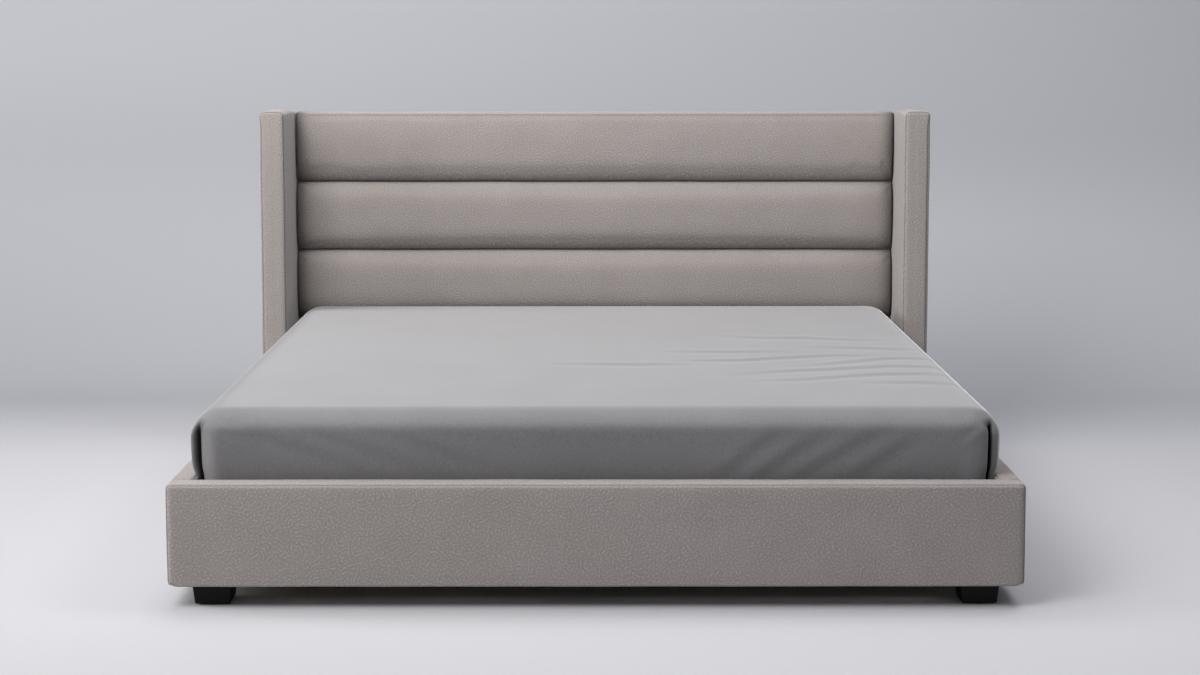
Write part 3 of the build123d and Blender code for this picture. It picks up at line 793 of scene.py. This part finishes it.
def make_channel(number, low, high, closes_over_top):
    """One channel cushion, between two heights."""
    rows = channel_profile(low, high, closes_over_top)
    last = len(rows) - 1
    cushion = add_grid(f"channel_cushion_{number}", channel_columns, last)
    x, y, _ = read_points(cushion).T
    row = np.rint((y + 0.5) * last).astype(int)
    across = x * 2 + 0.72 * np.sin(math.pi * (x * 2)) / math.pi
    depth, height = rows[row].T
    drawn = np.clip(1 - (1 - np.abs(across)) * half_width / draw_in, 0, 1)
    depth = np.where(depth > 0, depth * (1 - drawn**2.2) ** 0.5, depth)
    if closes_over_top:
        height = height - end_drop * drawn**2 * share_of(height - (high - end_drop_run), end_drop_run)
    write_points(cushion, np.column_stack([across * half_width, face_y - depth - 0.0005, height]))
    let_cloth_settle(cushion, (row == 0) | (row >= front_steps) | (np.abs(across) > 0.9999))
    apply_modifier(cushion, "SUBSURF", levels=1, render_levels=1)
    x, y, z = read_points(cushion).T
    if closes_over_top:
        beside = np.abs(z - (high - top_seam_drop)) + far * (y > face_y - 0.01)
        seam = np.maximum(bell(z - low, seam_width), 0.45 * bell(beside, 0.0017))
        swell = bell(beside - 0.0045, 0.0025)
    else:
        seam, swell = bell(np.minimum(z - low, high - z), seam_width), 0
    # Painted shade along the channel's seams.
    sink_seam_and_paint_shade(cushion, seam, swell, 0.0008)
    # Painted shade: each channel darkens towards the wings, as in their shade, and most at its very end.
    from_side = half_width - np.abs(x)
    mark_painted_shade(cushion, 0.70 * bell(from_side, 0.034) + 0.22 * bell(from_side, 0.008))
    slack(cushion, 0.0010, 11.0 + number)
    close_back(cushion)
    finish_piece(cushion, [f"channel_pad_{number}"])


for number in range(1, 5):
    low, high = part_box(f"channel_pad_{number}")
    make_channel(number, low[2], high[2], number == 1)

# %% [markdown]
# ## The back of the headboard
# A panel of thin lining is stapled over the timber frame. It sinks a little between the posts and rails,
# and has a narrow welt along its edge.

# %% Model the back panel
posts_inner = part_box("headboard_post_left")[1][0]
top, middle, bottom = (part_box(f"headboard_{place}_rail") for place in ("top", "middle", "bottom"))
hollow_depth, welt_height, welt_place, welt_width = 0.0035, 0.0012, 0.012, 0.006

back_panel = add_grid("headboard_back_panel", 150, 80)
x, z, y = read_points(back_panel).T
width, height = back_high[0] - back_low[0], back_high[2] - back_low[2]
x, y, z = x * width, y + back_high[1] - 0.0005, back_low[2] + (z + 0.5) * height


def between(values, low, high, soft=0.10):
    """1 well inside a span, 0 outside it, and a soft step between."""
    share = np.minimum(share_of(values - low, soft), share_of(high - values, soft))
    return share * share * (3 - 2 * share)


fields = between(z, bottom[1][2], middle[0][2]) + between(z, middle[1][2], top[0][2])
y -= hollow_depth * between(x, posts_inner, -posts_inner) * fields
from_edge = np.minimum(width / 2 - np.abs(x), np.minimum(z - back_low[2], back_high[2] - z))
y += welt_height * bell(from_edge - welt_place, welt_width)
write_points(back_panel, np.column_stack([x, y, z]))
face_outwards(back_panel)
if back_panel.data.polygons[0].normal[1] < 0:
    work_on(back_panel, "faces", lambda face: True, bpy.ops.mesh.flip_normals)
apply_modifier(back_panel, "SOLIDIFY", thickness=0.0012, offset=-1)
finish_piece(back_panel, ["headboard_back_cover"], lining_cloth)

# %% [markdown]
# ## The mattress and its fitted sheet
# The mattress is a soft slab, fullest above its middle, with a crowned top. The sheet follows it closely,
# so both come from one helper. The top is a flat grid, stretched to meet a rounded outline. Its edge is
# extruded down for the sides, and on inwards for the hem. Then one point on a side goes in or out by its
# height, and one on the top goes down by how near it is to the edge. The front rounds off in its own way,
# the sides in another, and the corners go slowly from the one to the other.

# %% The crown and the outline
sheet_low, sheet_high = corners("fitted_sheet")
slab_middle = (sheet_low + sheet_high) / 2
slab_height = sheet_high[2] - sheet_low[2]
full_half = (sheet_high - sheet_low) / 2
# The crown's height and run, the power of its curve, and how far the side below it draws in.
front_form = np.array((0.041, 0.086, 1.8, 0.012))
side_form = np.array((0.075, 0.068, 2.2, 0.036))
lower_power = 1.6
rim_inset, hem_width = 0.018, 0.085
sheet_radius = 0.080
tiny = 1e-6


def crown_drop(inset, crown, run, power):
    """How far the top has dropped at a distance in from the fullest outline."""
    return crown * (1 - (1 - share_of(run - inset, run) ** power) ** (1 / power))


def side_inset(height, crown, run, power, lower_run):
    """How far a side is drawn in at a height above the mattress's bottom."""
    middle = slab_height - crown
    above, below = share_of(height - middle, slab_height - middle), share_of(middle - height, middle)
    return run * (1 - (1 - above**power) ** (1 / power)) + lower_run * below**lower_power


def side_line(half, radius, steps, straight):
    """The points of one side from corner to corner: their places along it, and how far each falls back."""
    turn = np.radians(np.linspace(45, 0, steps + 1))
    ends = half - radius + radius * np.sin(turn)
    back = radius * (1 - np.cos(turn))
    middle = np.linspace(half - radius, radius - half, straight + 1)[1:-1]
    along = np.concatenate([-ends, -middle, ends[::-1]])
    return along, np.concatenate([back, np.zeros(len(middle)), back[::-1]])


# %% Build the slab's mesh


def pull_down_edge(piece, rings):
    """Extrude the open edge down by one metre and cut the new wall into rings."""
    pull_rim(piece, (0, 0, -1))
    work_on(piece, "edges", lambda edge: runs_along(edge, 2, 0.9), bpy.ops.mesh.subdivide, number_cuts=rings - 1)


def make_slab(name, shrink, radius, straight, steps, rings, hem_rings):
    """The mattress's slab, made smaller all round by a shrink, and a note of each point's place."""
    half = full_half - rim_inset - shrink
    rim_radius = radius - rim_inset - shrink
    along_x, back_x = side_line(half[0], rim_radius, steps, straight[0])
    along_y, back_y = side_line(half[1], rim_radius, steps, straight[1])
    columns, rows = len(along_x) - 1, len(along_y) - 1
    slab = add_grid(name, columns, rows, 2)
    points = read_points(slab)
    column = np.rint((points[:, 0] + 1) / 2 * columns).astype(int)
    row = np.rint((points[:, 1] + 1) / 2 * rows).astype(int)
    points[:, 0] = along_x[column] / along_x[-1] * (half[0] - back_y[row])
    points[:, 1] = along_y[row] / along_y[-1] * (half[1] - back_x[column])
    write_points(slab, points)
    pull_down_edge(slab, rings)
    if hem_rings:
        pull_down_edge(slab, hem_rings)
    points = read_points(slab)
    flat, wall = points[:, :2], -points[:, 2]
    on_wall = wall > tiny
    core = full_half[:2] - radius
    centre = np.clip(flat, -core, core)
    reach = np.linalg.norm(flat - centre, axis=1)
    outwards = (flat - centre) / np.maximum(reach, 1e-9)[:, None]
    over = np.abs(flat) - (half[:2] - rim_radius)
    outside = np.linalg.norm(np.maximum(over, 0), axis=1) + np.minimum(over.max(axis=1), 0)
    inside = np.maximum(rim_radius - outside, 0)
    gap = np.maximum(full_half[:2] - np.abs(flat), 1e-4) ** 2
    frontness = np.where(on_wall, outwards[:, 1] ** 2, gap[:, 0] / gap.sum(axis=1))
    crown, run, power, lower_run = (side_form + (front_form - side_form) * frontness[:, None]).T
    rim_height = slab_height - crown_drop(rim_inset, crown, run, power)
    height = rim_height * (1 - np.clip(wall, 0, 1) ** 1.15)
    inset = side_inset(height, crown, run, power, lower_run) + np.clip(wall - 1, 0, 1) * hem_width
    note = {"wall": wall, "centre": centre, "outwards": outwards, "height": height, "inset": inset, "crown": crown}
    to_side = centre + outwards * (radius - inset - shrink)[:, None]
    top = slab_height - crown_drop(rim_inset + inside, crown, run, power)
    up = np.where(on_wall, height, top) + np.where(wall >= 1, shrink, -shrink)
    placed = np.column_stack([np.where(on_wall[:, None], to_side, flat), up])
    write_points(slab, placed + slab_middle - (0, 0, slab_height / 2))
    return slab, note


# %% Model the mattress under its sheet
mattress, _ = make_slab("mattress_body", 0.005, 0.165, (36, 38), 6, 8, 0)
work_on(mattress, "edges", is_open, bpy.ops.mesh.edge_face_add)
work_on(mattress, "faces", lambda face: len(face.verts) > 4, bpy.ops.mesh.inset, thickness=0.02)
face_outwards(mattress)
finish_piece(mattress, ["mattress_core"], ticking, "mattress")

# %% [markdown]
# The fitted sheet is one piece of cotton, pulled over the mattress and held by elastic under it. At each
# corner there is cloth to spare, and it is folded into an upright pleat. Seen from above, the cloth of the
# front goes round the corner, turns sharply in, comes out again along the inside of a fold, and goes on as
# the side. A few marks in millimetres draw that line, with a third number for the share of painted shade
# deep in the pleat. The line is smoothed, and the upright rows of points round each corner are laid along
# it. The left front pleat stands open, the others are nearly closed.

# %% Model the fitted sheet
sheet, note = make_slab("fitted_sheet_cotton", 0.0, sheet_radius, (104, 146), 20, 22, 4)

# Each mark is how far out and how far forward the cloth lies, in millimetres, and its share of painted shade deep
# in the pleat.
open_pleat = (
    (0, 80, 0), (9, 80, 0), (18, 78.5, 0), (27, 74, 0), (35, 67.5, 0), (43, 60, 0), (50, 53, 0.1),
    (54, 46, 1), (54, 38, 1), (54, 30, 1), (56, 23, 1), (60, 20, 1), (63, 22, 1), (66.5, 26, 0.7),
    (70, 30, 0.3), (74, 33.5, 0.15), (78, 34, 0.05), (81.5, 31, 0), (83, 24, 0), (83, 12, 0), (80, 0, 0),
)
closed_pleat = (
    (0, 80, 0), (14, 79, 0), (26, 76.5, 0), (35, 73, 0), (41, 68.5, 0), (45, 62, 0.3), (46, 54, 1),
    (45, 42, 1), (44.5, 32, 1), (46.5, 26, 1), (49.5, 26, 1), (51.5, 33, 1), (52.5, 43, 1), (54, 52, 0.6),
    (58, 56, 0.1), (64, 54, 0), (70, 47.5, 0), (76, 37, 0), (80, 25, 0), (82, 14, 0), (80, 0, 0),
)
rail_draw, rail_height, rail_run = 0.007, 0.120, 0.030


def smooth_line(marks):
    """Cut the corners off a line of marks, and give each new mark its share of the line's length."""
    line = np.array(marks, float) / (1000, 1000, 1)
    for _ in range(2):
        early, late = 0.75 * line[:-1] + 0.25 * line[1:], 0.25 * line[:-1] + 0.75 * line[1:]
        line = np.concatenate([line[:1], np.stack([early, late], 1).reshape(-1, 3), line[-1:]])
    steps = np.linalg.norm(np.diff(line[:, :2], axis=0), axis=1)
    return np.concatenate([[0], np.cumsum(steps)]) / steps.sum(), line


def fold_corner(side, end, marks, top, opening):
    """Lay the sheet's cloth of one corner along a pleat's line, from the pleat's top down, and paint its shade."""
    share, line = smooth_line(marks)
    outwards, wall, height = note["outwards"], note["wall"], note["height"]
    here = (wall > tiny) & (outwards[:, 0] * side > -tiny) & (outwards[:, 1] * end > -tiny)
    here &= (np.abs(note["centre"]) > full_half[:2] - sheet_radius - 0.0001).all(axis=1)
    turned = np.arctan2(np.abs(outwards[:, 0]), np.abs(outwards[:, 1])) / (math.pi / 2)
    across, back, shade = (np.interp(turned, share, line[:, i]) for i in range(3))
    drawn = np.where(height > slab_height - note["crown"], 1.0, 0.30) * note["inset"]
    folded = np.column_stack([across, back]) * ((sheet_radius - drawn) / sheet_radius)[:, None]
    to_rail = share_of(rail_height - height, rail_run) ** 1.5
    folded[:, 0] -= rail_draw * to_rail * folded[:, 0] / sheet_radius * share_of(folded[:, 1], rail_run)
    open_share = share_of(top - height, opening)
    open_share = open_share**2 * (3 - 2 * open_share) * np.clip(2.2 - wall, 0, 1)
    blend = open_share * here
    points = read_points(sheet)
    corner = note["centre"] + slab_middle[:2] + folded * (side, end)
    points[:, :2] += (corner - points[:, :2]) * blend[:, None]
    write_points(sheet, points)
    # Painted shade deep in each pleat.
    mark_painted_shade(sheet, shade * blend**0.5)


fold_corner(-1, -1, open_pleat, 0.230, 0.045)
for side, end in ((1, -1), (-1, 1), (1, 1)):
    fold_corner(side, end, closed_pleat, 0.226, 0.030)

# %% [markdown]
# Where the sheet isn't pulled quite tight, it lies in long soft folds, which run across the top and slant
# over the front. Each fold follows a line of marks and fades out towards its ends. A ridge with a shallow
# valley beside it catches the light as a real fold does.

# %% Lay the folds
top_z, front_y = float(sheet_high[2]), float(sheet_low[1]) + 0.004
# A kind of fold has its height, its width, the way from its valley to its ridge, and its lines of marks in
# millimetres: X and Y on the top, X and Z on the front.
folds = {
    "top": (0.0019, 0.021, (0, 0.036, 0), (
        ((200, -285), (402, -270), (517, -230), (661, -185), (800, -188)),
        ((560, -380), (702, -303), (793, -243), (877, -236), (950, -262)),
        ((380, -515), (495, -462), (605, -435), (801, -374), (900, -385), (955, -440)),
        ((420, -620), (535, -600), (645, -552), (756, -510), (880, -504), (945, -560)),
    )),
    "faint": (0.0014, 0.024, (0, 0.040, 0), (
        ((364, 210), (492, 159), (611, 160), (725, 125), (850, 104)),
        ((200, -110), (401, -118), (550, -100)),
        ((700, -645), (865, -649), (940, -690)),
        ((-100, -330), (100, -345), (300, -335)),
        ((620, -20), (780, -50), (930, -80)),
    )),
    "front": (0.0026, 0.017, (-0.030, 0, 0.020), (
        ((300, 290), (389, 365), (462, 412)),
        ((375, 280), (471, 346), (575, 408)),
        ((475, 290), (586, 351), (657, 390), (720, 415)),
        ((620, 290), (724, 360), (780, 395)),
    )),
    "slack": (0.0018, 0.016, (0.012, 0, 0.022), (
        ((-860, 415), (-740, 375), (-600, 330)),
        ((-720, 420), (-600, 380), (-440, 325)),
        ((-500, 400), (-380, 360), (-260, 320)),
    )),
    "pinch": (0.0030, 0.009, (0.010, 0, -0.010), (
        ((-925, 434), (-900, 415), (-860, 390)),
        ((-925, 434), (-890, 432), (-840, 425)),
        ((925, 430), (900, 415), (865, 385)),
    )),
}


def fold_share(points, line, width):
    """Each point's share in a soft fold along a line, which fades out at the line's ends."""
    runs = np.diff(line, axis=0)
    lengths = np.linalg.norm(runs, axis=1)
    before = np.concatenate([[0], np.cumsum(lengths)[:-1]]) / lengths.sum()
    nearest, along = np.full(len(points), far), np.zeros(len(points))
    for start, run, length, first in zip(line[:-1], runs, lengths, before):
        share = share_of((points - start) @ run, length**2)
        gap = np.linalg.norm(points - start - share[:, None] * run, axis=1)
        closer = gap < nearest
        nearest = np.where(closer, gap, nearest)
        along = np.where(closer, first + share * length / lengths.sum(), along)
    return bell(nearest, width) * np.sin(math.pi * np.clip(along, 0.02, 0.98)) ** 0.6


points = read_points(sheet)
on_top = points * (1, 1, 0) + (0, 0, top_z) + (points[:, 2:] < top_z - 0.07) * (0, 0, far)
on_front = points * (1, 0, 1) + (0, front_y, 0) + (points[:, 1:2] > front_y + 0.116) * (0, far, 0)
lift = np.zeros(len(points))
for kind, (height, width, beside, lines) in folds.items():
    flat, axis, place = (on_top, 2, top_z) if kind in ("top", "faint") else (on_front, 1, front_y)
    for marks in lines:
        line = np.insert(np.array(marks) / 1000, axis, place, axis=1)
        lift += height * (0.7 * fold_share(flat, line + beside, width) - fold_share(flat, line, width))
push_points(sheet, lift)
print("folds from", round(1000 * float(lift.min()), 1), "to", round(1000 * float(lift.max()), 1), "mm")

# %% Give the sheet its thickness
face_outwards(sheet)
apply_modifier(sheet, "SOLIDIFY", thickness=0.0012, offset=-1)
finish_piece(sheet, ["fitted_sheet"], sheet_cotton, "mattress")

# %% [markdown]
# ## The feet
# Each foot is a block that tapers towards the floor. In the solid model its edges are sharp, and a bright
# line along a rounded edge makes lacquer look real, so it is modelled again, with a bevel.

# %% Model the feet
foot_taper = 0.084 / 0.095

for place in ("front_left", "front_right", "rear_left", "rear_right"):
    low, high = corners("foot_" + place)
    foot = add_block("block_foot_" + place, low, high)
    middle = (low + high) / 2
    taper = {"value": (foot_taper, foot_taper, 1), "center_override": (middle[0], middle[1], low[2])}
    work_on(foot, "verts", lambda point: point.co[2] < middle[2], bpy.ops.transform.resize, **taper)
    round_edges(foot, lambda edge: True, 0.004, 4)
    finish_piece(foot, ["foot_" + place], foot_lacquer)
    bpy.ops.object.shade_smooth_by_angle(angle=math.radians(40))

# %% [markdown]
# ## The floor and the wall
# The sweep is a grid that is bent up behind the bed. Light and shade are painted into its colour in slow steps, as
# on a lit studio wall: darker at the left and in the cove, lighter near the front.

# %% Model the sweep
sweep_turn, sweep_radius = 1.75, 0.9
sweep = add_grid("studio_sweep", 2, 240, 24)
x, y, _ = read_points(sweep).T
run = np.maximum(y - sweep_turn, 0)
turn = np.minimum(run / sweep_radius, math.pi / 2)
past = np.maximum(run - sweep_radius * math.pi / 2, 0)
y, z = y - run + sweep_radius * np.sin(turn), sweep_radius * (1 - np.cos(turn)) + past
write_points(sweep, np.column_stack([x, y, z]))
bpy.ops.object.shade_smooth()
paper, tree, shader = new_material("studio_paper")
place = add_node(tree, "SeparateXYZ", {0: object_place(tree)}).outputs
# Painted light and shade: the paper is darker at the left and lighter at the right.
to_right = ramp(tree, place["X"], -2.4, 2.4)
colour = mix_colours(tree, to_right, (0.298, 0.298, 0.315, 1), (0.425, 0.425, 0.445, 1))
# Painted light and shade: an axis, where the next tone begins and is full along it, and its left and right colours.
painted_light_tones = (
    ("Y", -3.0, -1.2, (0.405, 0.405, 0.425, 1), (0.505, 0.505, 0.53, 1)),
    ("Y", 0.7, 1.8, (0.302, 0.306, 0.326, 1), (0.45, 0.46, 0.488, 1)),
    ("Z", 0.2, 1.3, (0.362, 0.367, 0.395, 1), (0.425, 0.435, 0.463, 1)),
)
for axis, begins, full, left, right in painted_light_tones:
    tone = mix_colours(tree, to_right, left, right)
    colour = mix_colours(tree, ramp(tree, place[axis], begins, full), colour, tone)
set_inputs(tree, shader, {"Base Color": colour, "Roughness": 0.75})
sweep.data.materials.append(paper)
